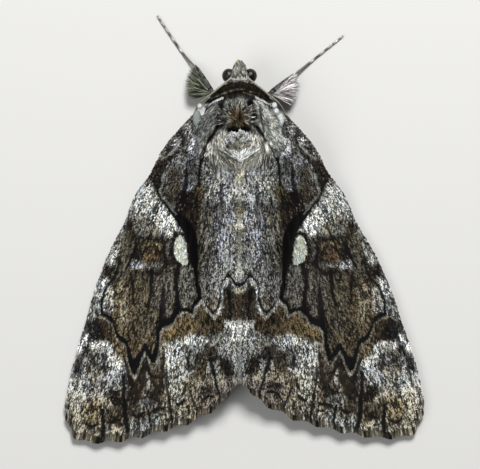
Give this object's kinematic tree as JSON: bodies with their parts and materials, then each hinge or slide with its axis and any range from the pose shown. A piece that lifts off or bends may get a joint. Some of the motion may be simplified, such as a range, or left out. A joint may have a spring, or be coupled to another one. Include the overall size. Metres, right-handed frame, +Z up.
{
  "type": "underwing moth model",
  "caption": "Life-size model of a resting underwing moth with scalloped forewings closed over the body, long feelers and outstretched forelegs.",
  "frame": {"origin": "on the ground, under the middle of the outline", "axes": "+Z up, +Y from the tail to the head, +X towards the moth's right side"},
  "size_m": [0.0404, 0.0482, 0.0086],
  "materials": {
    "wing": "matt, scaled",
    "hindwing": "matt, scaled",
    "body": "furry",
    "collar": "furry",
    "abdomen": "furry",
    "eye": "glossy",
    "leg": "matt, scaled",
    "feeler": "satin"
  },
  "bodies": {
    "root": {"thorax": "body", "collar": "collar", "abdomen": "abdomen", "head": "body", "proboscis": "feeler", "eye_left": "eye", "eye_right": "eye", "palp_left": "body", "palp_right": "body", "antenna_left": "feeler", "antenna_right": "feeler", "tegula_left": "body", "tegula_right": "body", "forewing_left": "wing", "forewing_right": "wing", "hindwing_left": "hindwing", "hindwing_right": "hindwing", "foreleg_left": "leg", "foreleg_right": "leg", "midleg_left": "leg", "midleg_right": "leg", "hindleg_left": "leg", "hindleg_right": "leg"}
  },
  "joints": []
}
